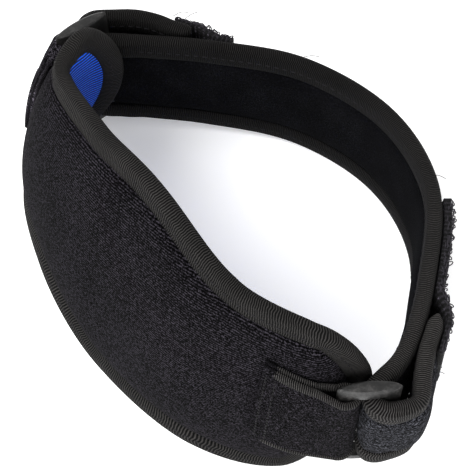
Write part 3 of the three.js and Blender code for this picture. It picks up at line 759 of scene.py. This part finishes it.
def build_strap_binding(name, up):
    section, v = rolled_section(STRAP["thick"], STRAP["bind_width"])
    thicker = SLOT_TAPE * in_slot(PATH_LENGTH)
    half, plush_side = STRAP["height"] / 2, STRAP["thick"] / 2 - 0.3
    grid = np.stack([
        strap_point(PATH_LENGTH, (n + thicker * (n > plush_side)) * END_ROUND, up * (half - depth))
        for n, depth in section
    ], axis=1)
    tape = skin(f"{name}_tape", grid, PATH_LENGTH, v)
    dress(tape, "binding_tape", STRAP_BINDING, replaces=[name])


STITCH_LIFT = 0.2       # how far a row of stitches lies above the tape's flat face


def strap_stitches(name, depth, pitch, share):
    """A row of stitches on both faces of both tapes."""
    height, lift = STRAP["height"] / 2 - depth, STRAP["thick"] / 2 + STITCH_LIFT
    runs = []
    for sign in (1, -1):
        for z in (height, -height):
            for s in np.arange(2.0, PATH_LENGTH[-1] - 2.0, pitch):
                start = strap_point(s, sign * lift, z)
                end = strap_point(s + pitch * share, sign * lift, z)
                runs.append((start, end, strap_point(s, sign * (lift + 1), z) - start))
    dress(stitches(name, runs), "binding_tape", DARK_THREAD)


# Building the pad

def face_grid(outline, depth_of, across=40):
    """Places and points of a face within an outline, at a depth that follows from its bulge there."""
    columns = len(STATIONS)
    top = outline[:columns]
    bottom = outline[(-np.arange(columns)) % len(outline)]
    share = np.linspace(0, 1, across + 1)[None, :, None]
    place = top[:, None, :] * (1 - share) + bottom[:, None, :] * share
    height = (top[:, 1] - bottom[:, 1])[:, None]
    depth = depth_of(swell(height, share[..., 0]), place)
    return place, pad_point(place[..., 0], place[..., 1], depth)


def pad_surface(name, outline, depth_of, back_depth):
    """Closed body: a face and a back within one outline, joined round it."""
    place, face = face_grid(outline, depth_of)
    _, back = face_grid(outline, back_depth)
    rows, cols = face.shape[:2]
    faces, uvs = [], []

    def add(corners, flip):
        order = corners[::-1] if flip else corners
        faces.append(tuple(k * rows * cols + i * cols + j for k, i, j in order))
        uvs.append([tuple(place[i, j]) for k, i, j in order])

    for i in range(rows - 1):
        for j in range(cols - 1):
            for k in (0, 1):
                add([(k, i, j), (k, i, j + 1), (k, i + 1, j + 1), (k, i + 1, j)], k == 1)
    for i in range(rows - 1):
        add([(0, i, 0), (0, i + 1, 0), (1, i + 1, 0), (1, i, 0)], False)
        add([(0, i, cols - 1), (0, i + 1, cols - 1), (1, i + 1, cols - 1), (1, i, cols - 1)], True)
    vertices = np.vstack([face.reshape(-1, 3), back.reshape(-1, 3)])
    return outward(new_object(name, vertices, faces, uvs), merge=1e-6)


# Cloth over the pad: lap under the binding, sunk at its edge, share of the bulge that is drawn in, and the
# place of its hidden back beside the two layers' meeting face.
COVER = dict(lap=0.5, sunk=0.5, drawn=0.35, back=0.2)
LINING = dict(lap=0.4, sunk=0.5, risen=0.4, drawn=0.3, back=-0.1)
WAVES = dict(depth=0.16, along=6.3, slant=15, up=7.1)


def build_pad():
    edge = PAD["edge_thick"] / 2

    def cover_face(share, place):
        """Depth of the outer cloth, drawn in along the binding and faintly uneven."""
        near = np.minimum(1, share / COVER["drawn"])
        along, up = place[..., 0], place[..., 1]
        slanting = np.sin(along / WAVES["along"] + up / WAVES["slant"])
        waves = WAVES["depth"] * slanting * np.sin(up / WAVES["up"])
        return edge - COVER["sunk"] + COVER["sunk"] * near + PAD["bulge_out"] * share + waves * near

    def lining_face(share, place):
        """Depth of the blue side, drawn in along the binding."""
        near = np.minimum(1, share / LINING["drawn"])
        return -edge + LINING["sunk"] - LINING["risen"] * near - PAD["bulge_in"] * share

    def back(outward_by):
        return lambda share, place: -edge + PAD["lining"] + outward_by - PAD["bulge_in"] * share

    field = inset(PAD["bind_width"] - COVER["lap"])
    shell = pad_surface("pad_cover", field, cover_face, back(COVER["back"]))
    dress(shell, "loop_fabric", LOOP_FABRIC, replaces=["pad_shell"])
    field = inset(PAD["bind_width"] - LINING["lap"])
    lining = pad_surface("pad_blue_lining", field, lining_face, back(LINING["back"]))
    dress(lining, "blue_knit", BLUE, replaces=["pad_lining"])


def build_pad_binding():
    section, v = rolled_section(PAD["edge_thick"], PAD["bind_width"])
    rings = [inset(depth) for _, depth in section]
    grid = np.stack([pad_point(ring[:, 0], ring[:, 1], n) for (n, _), ring in zip(section, rings)], axis=1)
    tape = skin("pad_binding_tape", grid, run_length(np.vstack([OUTLINE, OUTLINE[:1]])), v, closed=True)
    dress(tape, "binding_tape", BINDING, replaces=["pad_binding"])


def pad_stitches(name, depth, pitch, share):
    """A row of stitches round the pad's tape, on both faces."""
    lift = PAD["edge_thick"] / 2 + STITCH_LIFT
    line = inset(depth)
    line = np.vstack([line, line[:1]])
    u = run_length(np.vstack([OUTLINE, OUTLINE[:1]]))
    runs = []
    for sign in (1, -1):
        for s in np.arange(0, u[-1] - pitch, pitch):
            first, last = at_length(s, u, line), at_length(s + pitch * share, u, line)
            start, end = pad_point(*first, sign * lift), pad_point(*last, sign * lift)
            runs.append((start, end, pad_point(*first, sign * (lift + 1)) - start))
    dress(stitches(name, runs), "binding_tape", DARK_THREAD)


# Rings

RING_TIP = 2.4                                  # how far from each tip the ring starts to round off
RING_THIN, RING_LEAST = 0.12, 0.1               # half its thickness at the tips, and there at its ends
RING_CHAMFER = [(0, 0.6), (0.3, 0.18), (1, 0)]  # at its ends: down and inward, as shares of RING["bevel"]
EDGE_BEVEL = 0.3


def ring_outline():
    """The lens-shaped section, rounded at its tips."""
    v = np.sin(np.linspace(-math.pi / 2, math.pi / 2, 41)) * RING_WIDTH / 2
    past = np.clip((np.abs(v) - RING_WIDTH / 2 + RING_TIP) / RING_TIP, 0, 1)
    half = np.maximum(RING_THIN, lens_thick(v) / 2 * np.sqrt(1 - past ** 2.5))
    return [*zip(v, half), *zip(v[::-1], -half[::-1])]


def ring_body(name, height):
    """The ring before its slot is cut: the lens section run up its height, with chamfered ends."""
    levels = [(height / 2 - down * RING["bevel"], inward * RING["bevel"]) for down, inward in RING_CHAMFER]
    levels = [(-z, inward) for z, inward in levels] + levels[::-1]
    return skin(name, MM * np.array([
        [
            (a * (1 - 2 * inward / RING_WIDTH), math.copysign(max(RING_LEAST, abs(b) - inward), b), z)
            for a, b in ring_outline()
        ] for z, inward in levels
    ]))


def build_ring(name):
    slot_height = max(STRAP["height"], RING_TAB["height"]) + 2 * RING["slot_clearance"]
    ring = ring_body(f"ring_{name}_body", slot_height + 2 * RING["end_bar"])
    cutter = slot_cutter(slot_height)
    cut = ring.modifiers.new("slot", "BOOLEAN")
    cut.object, cut.operation, cut.solver = cutter, "DIFFERENCE", "EXACT"
    apply_modifiers(ring)
    bpy.data.objects.remove(cutter)
    soften = ring.modifiers.new("edges", "BEVEL")
    soften.width, soften.segments, soften.limit_method = EDGE_BEVEL * MM, 3, "ANGLE"
    soften.angle_limit = math.radians(30)
    apply_modifiers(ring)
    ring.data.set_sharp_from_angle(angle=math.radians(50))
    place_ring(ring, SIDES[name])
    dress(ring, "ring_plastic", PLASTIC, replaces=[f"ring_{name}"])


def slot_cutter(slot_height):
    """Cuts the slot and leaves a rounded nose on both bars."""
    nose, crown, reach = RING["bar"] / 2, lens_thick(RING["slot_width"] / 2) / 2, RING["end_thick"]
    angles = np.linspace(-math.pi / 2, math.pi / 2, 15)
    right = [(BAR_CENTRE - nose * math.cos(a), crown * math.sin(a)) for a in angles]
    outline = [(BAR_CENTRE, -reach), *right, (BAR_CENTRE, reach), (-BAR_CENTRE, reach)]
    outline += [(-x, y) for x, y in right[::-1]] + [(-BAR_CENTRE, -reach)]
    levels = (-slot_height / 2, slot_height / 2)
    return skin("slot_cutter", MM * np.array([[(x, y, z) for x, y in outline] for z in levels]))


def apply_modifiers(piece):
    made = bpy.data.meshes.new_from_object(piece.evaluated_get(bpy.context.evaluated_depsgraph_get()))
    piece.modifiers.clear()
    piece.data = made


def place_ring(ring, row):
    centre, far, out = ring_axes(row)
    foot = leaned(centre[0], centre[1], 0.0)
    up = leaned(centre[0], centre[1], 1.0) - foot
    lean = Vector((0, 0, 1)).rotation_difference(Vector(up))
    basis = Matrix(((far[0], -far[1], 0), (far[1], far[0], 0), (0, 0, 1)))
    turn = np.array(lean.to_matrix()) @ np.array(basis)
    co = np.zeros(len(ring.data.vertices) * 3)
    ring.data.vertices.foreach_get("co", co)
    world = placed(co.reshape(-1, 3) / MM @ turn.T + foot)
    ring.data.vertices.foreach_set("co", world.ravel())
    ring.data.update()


# Ring tabs

TAB_HEIGHTS = np.linspace(-1, 1, 25)
TAB_THICKNESS = RING_TAB["thick"] * (1 - 0.25 * TAB_HEIGHTS ** 2)
TAB_PRESSED, TAB_FLAT = 0.35, 0.75      # what is left at the seam of the gap below and the layers' spacing
SEAM_ROWS, SEAM_GAP, SEAM_RADIUS = (-2, -4), 0.15, 0.25
# The bead along each edge: half its height, how far its middle lies inside the edge, its thickness in
# shares of the tab's, and the length over which it grows at the tab's ends.
TAB_EDGE = dict(high=1.4, inside=1.1, thick=0.62, fade=5)
# The left beads take the left tab's lighter cloth, painted light.
TAB_EDGES = {"left": (TAB_FABRICS["left"], 2.2), "right": (OVERLOCK, 1)}     # material, times as thick


def tab_row_on_pad(row, share, layer):
    """Two lines of points across the tab, its inner and outer face, where it lies on the pad."""
    middle_along = (row["tab_seam"] + (row["tab_lift"] - row["tab_seam"]) * share) * PAD_LENGTH
    left = 1 - share
    full = RING_TAB["seam_height"] + (RING_TAB["height"] - RING_TAB["seam_height"]) * share / 2
    along = middle_along + left * row["tab_skew"] * TAB_HEIGHTS
    height = (1 + left) / 2 * row["tab_rise"] * RING_TAB["rise"] + TAB_HEIGHTS * full / 2
    pressed = RING_TAB["tip_gap"] * (TAB_PRESSED + (1 - TAB_PRESSED) * share)
    spacing = (RING_TAB["thick"] + GAP) * (TAB_FLAT + (1 - TAB_FLAT) * share)
    depth = outer_depth(along, height) + pressed + RING_TAB["thick"] / 2 + layer * spacing
    toward = TAB_THICKNESS / 2 if layer else -TAB_THICKNESS / 2
    return [pad_point(along, height, depth + sign * toward) for sign in (1, -1)]


def tab_row_at_bar(row, degrees):
    at = round_bar(row, -1, RING_TAB["thick"], degrees)
    ahead = round_bar(row, -1, RING_TAB["thick"], degrees + 1) - at
    away = right_of(unit(ahead)) * row["side"]
    z = TAB_HEIGHTS * RING_TAB["height"] / 2
    return [beside(at, -away, sign * TAB_THICKNESS / 2, z) for sign in (1, -1)]


def tab_rows(row):
    """Rows across the tab, from its seam under the outer layer, round the bar and back to the seam."""
    def lying(layer):
        return [tab_row_on_pad(row, share, layer) for share in np.linspace(0, 1, 12)]

    def bridge(a, b):
        return [[p + (q - p) * share for p, q in zip(a, b)] for share in np.linspace(0, 1, 9)[1:-1]]

    round_rows = [tab_row_at_bar(row, angle) for angle in np.arange(-115, 116, 10)]
    under, over = lying(0), lying(1)[::-1]
    return [*under, *bridge(under[-1], round_rows[0]), *round_rows, *bridge(round_rows[-1], over[0]), *over]


def two_sided(heights):
    """v across a flat piece's two faces, set apart so that their textures differ."""
    return np.concatenate([heights, heights[::-1] + 60, [heights[0] + 100]])


def build_ring_tab(name):
    rows = tab_rows(SIDES[name])
    grid = np.stack([np.vstack([outer, inner[::-1]]) for outer, inner in rows])
    u = run_length(grid[:, len(TAB_HEIGHTS) // 2]) / MM
    tab = skin(f"ring_tab_{name}_cloth", grid, u, two_sided(TAB_HEIGHTS * RING_TAB["height"] / 2))
    dress(tab, "loop_fabric", TAB_FABRICS[name], replaces=[f"ring_tab_{name}"])
    build_tab_edges(name, grid, u)
    build_tab_seam(name, rows)


def build_tab_edges(name, grid, u):
    """A bead along each edge of the tab: overlocked on the right, rolled on the left in the left tab's
    cloth, painted lighter as painted light.
    """
    material, fat = TAB_EDGES[name]
    half = RING_TAB["thick"] * TAB_EDGE["thick"] * MM
    full = (0.1 + 0.9 * smooth(np.minimum(u, u[-1] - u) / (TAB_EDGE["fade"] * fat)))[:, None]
    count = len(TAB_HEIGHTS)
    for label, outer, inner in (("upper", count - 1, count), ("lower", 0, 2 * count - 1)):
        through = unit(grid[:, outer] - grid[:, inner])
        across = unit(grid[:, outer] - grid[:, count // 2])
        centre = (grid[:, outer] + grid[:, inner]) / 2 - through * (fat - 1) * half
        bead = np.stack([
            centre + across * (math.cos(angle) * TAB_EDGE["high"] * full - TAB_EDGE["inside"]) * MM
            + through * math.sin(angle) * half * fat * full
            for angle in np.linspace(0, 2 * math.pi, 12, endpoint=False)
        ], axis=1)
        edge = skin(f"ring_tab_{name}_edge_{label}", bead, u, np.linspace(0, 8, 13))
        dress(edge, "binding_tape", material)


def build_tab_seam(name, rows):
    """Two lines of stitches that hold the tab's end to the pad."""
    runs = []
    for back in SEAM_ROWS:
        outer, inner = rows[back]
        for i in range(2, len(outer) - 3):
            step = outer[i + 1] - outer[i]
            start, end = outer[i] + step * SEAM_GAP, outer[i] + step * (1 - SEAM_GAP)
            runs.append((start, end, outer[i] - inner[i]))
    dress(stitches(f"ring_tab_{name}_stitches", runs, SEAM_RADIUS), "loop_fabric", SEAM_THREAD)


# Hook tapes

PILE = dict(least=0.1, more=1.1, start=1, run=6)
TAPE_EDGE = dict(thin=0.7, rough=0.25)      # at the long edges: share of the thickness, wavering in mm
# Thread loops along the edges: spacing, half width, height, sideways slant, thickness, depth in the tape.
LOOPS = dict(pitch=0.3, wide=(0.4, 0.3), tall=(0.3, 0.6), skew=1.2, thread=0.17, rooted=0.4)


def hook_lap(name):
    return SIDES[name]["hook_lap"] * HOOK["lap"]


def hook_pile(name, u):
    """How far the brushed outer side stands out: little where the tape laps over the fold-back."""
    return PILE["least"] + PILE["more"] * smooth((u - hook_lap(name) - PILE["start"]) / PILE["run"])


def hook_path(name, lap_share=1.0, count=60):
    """Middle line of the tape, its sideways direction and its length so far, for a share of its lap."""
    lies = STRAP["thick"] / 2 + CONTACT + HOOK["thick"] / 2
    fold, lap, reach = fold_length(name), hook_lap(name), SIDES[name]["hook_reach"] * HOOK["reach"]
    distance = fold - lap * lap_share + np.linspace(0, 1, count) * (lap * lap_share + reach)
    past = smooth((distance - fold) / HOOK["settle"])
    on_fold = fold_offset(name, np.minimum(1, distance / fold)) + lies
    points = beside_strap(name, distance, on_fold + (lies - on_fold) * past)
    return points, right_of(unit(np.gradient(points, axis=0))), distance - distance[0]


def slant(z):
    """Share of the lap over the fold-back at a height: the tape's end is cut aslant."""
    return 0.05 + 0.95 * np.clip(0.5 + z / HOOK["height"], 0, 1)


def build_hook_tape(name):
    points, side, u = hook_path(name)
    rough = TAPE_EDGE["rough"] * RANDOM.standard_normal(len(u))
    heights = np.linspace(-1, 1, 21) * HOOK["height"] / 2
    sections = []
    for sign in (1, -1):
        pile = hook_pile(name, u) if sign == SIDES[name]["side"] else 0
        for z in heights[::sign]:
            at_edge = abs(z) == HOOK["height"] / 2
            n = sign * (HOOK["thick"] / 2 + pile) * (TAPE_EDGE["thin"] if at_edge else 1.0)
            at, across, _ = hook_path(name, slant(z))
            sections.append(beside(at, across, n, z + (rough if at_edge else 0)))
    tape = skin(f"hook_tab_{name}_tape", np.stack(sections, axis=1), u, two_sided(heights))
    dress(tape, "hook_tape", HOOK_TAPE, replaces=[f"hook_tab_{name}"])
    build_edge_loops(name, points, side, u)


def build_edge_loops(name, points, side, u):
    """Rough edge: small thread loops that stand out of the tape's upper and lower edge."""
    lines = []
    for edge, skipped in ((1, 0), (-1, hook_lap(name))):
        for s in np.arange(0.4 + skipped, u[-1] - 0.4, LOOPS["pitch"]):
            wide, tall = (least + more * RANDOM.random() for least, more in (LOOPS["wide"], LOOPS["tall"]))
            out = (HOOK["thick"] / 2 + hook_pile(name, s)) * RANDOM.random()
            skew = LOOPS["skew"] * (RANDOM.random() - 0.5)
            tip = math.radians(100 * RANDOM.random())
            line = []
            for angle in np.linspace(0, math.pi, 8):
                at = np.clip(s + wide * math.cos(angle) + skew * math.sin(angle), 0, u[-1])
                rise = tall * math.sin(angle)
                z = edge * (HOOK["height"] / 2 - LOOPS["rooted"] + rise * math.cos(tip))
                lift = SIDES[name]["side"] * (out + rise * math.sin(tip))
                line.append(beside(at_length(at, u, points), at_length(at, u, side), lift, z))
            lines.append(line)
    dress(tubes(f"hook_tab_{name}_loops", lines, LOOPS["thread"]), "hook_tape", LOOP_THREAD)


# Loose threads: where each starts on the strap (place along it, out through it, height), and how far it
# runs along, out and up from there, in mm.

LOOSE_THREADS = [
    ((98, -1.2, 19.0), (4, -1.5, 0.8)),
    ((101, -0.5, 19.1), (-2, 1.2, 1.6)),
    ((152, -1.8, 18.6), (2, -2.0, 0.8)),
    ((3, 3.2, 18.4), (-5, 2.4, 1.5)),
    ((7, 2.6, 18.7), (-4, 3.2, -0.5)),
    ((244, 2.4, 16.0), (3.5, 3.0, -4.5)),
    ((246, 2.4, 15.0), (4.5, 2.2, -5.5)),
    ((36, 2.5, -8.0), (2, 2.2, -2.0)),
]


def build_loose_threads():
    lines = []
    share = np.linspace(0, 1, 10)
    for (distance, n, z), (along, out, up) in LOOSE_THREADS:
        bow = np.sin(share * math.pi) * 0.25 * math.hypot(along, out, up)
        offset = n + out * share ** 1.6 + 0.3 * bow
        lines.append(strap_point(distance + along * share, offset, z + up * share + bow))
    dress(tubes("loose_threads", lines, 0.09), "binding_tape", DARK_THREAD)


# Floor, light and camera

FLOOR_HALF, FLOOR_BELOW = 3.0, 0.0002
WHITE = (1, 1, 1, 1)


def build_floor():
    corners = [(x * FLOOR_HALF, y * FLOOR_HALF, 0) for x, y in ((-1, -1), (1, -1), (1, 1), (-1, 1))]
    floor = new_object("floor", corners, [(0, 1, 2, 3)])
    floor.location.z = -FLOOR_BELOW
    g = Graph("floor_paper")
    soft = g.noise(g.place, 3.0, 2.0)
    colour = g.ramp(soft, shades(NEUTRAL, (0.0, 0.9), (1.0, 0.94)))
    floor.data.materials.append(g.finish(colour, g.bump(soft, 0.1, 0.1), 0.9))
    g.shader.inputs["Emission Color"].default_value = WHITE
    g.shader.inputs["Emission Strength"].default_value = 0.3


def area_light(name, place, size, power, target=(0, 0, 0.03)):
    data = bpy.data.lights.new(name, "AREA")
    data.shape, data.size, data.energy = "DISK", size, power
    lamp = linked(name, data)
    lamp.location = place
    lamp.rotation_euler = (Vector(target) - Vector(place)).to_track_quat("-Z", "Y").to_euler()


def build_light():
    world = bpy.data.worlds.new("studio")
    bpy.context.scene.world = world
    world.use_nodes = True
    world.node_tree.nodes["Background"].inputs["Color"].default_value = WHITE
    world.node_tree.nodes["Background"].inputs["Strength"].default_value = 0.8
    area_light("key", (-0.35, -0.25, 0.75), 0.5, 5.5)
    area_light("fill", (0.5, -0.4, 0.5), 0.6, 6.5)


def build_camera():
    """The camera as fitted to the photo's outlines."""
    data = bpy.data.cameras.new("camera")
    data.sensor_width = 36
    data.lens = 129.81
    data.clip_start = 0.01
    camera = linked("camera", data)
    right, up, back = (
        (0.58324, 0.80779, -0.08546), (-0.72446, 0.56488, 0.39507), (0.36741, -0.16851, 0.91467),
    )
    turn = Matrix((right, up, back)).transposed().to_4x4()
    camera.matrix_world = Matrix.Translation((0.174578, -0.082163, 0.460341)) @ turn
    bpy.context.scene.camera = camera


build_strap()
build_strap_binding("strap_binding_upper", 1)
build_strap_binding("strap_binding_lower", -1)
strap_stitches("strap_binding_stitches", depth=3.7, pitch=2.6, share=0.62)
build_pad()
build_pad_binding()
pad_stitches("pad_binding_stitches", depth=3.6, pitch=2.4, share=0.6)
for side_name in SIDES:
    build_ring(side_name)
    build_ring_tab(side_name)
    build_hook_tape(side_name)
build_loose_threads()
bpy.context.scene.view_settings.view_transform = "Standard"
build_floor()
build_light()
build_camera()
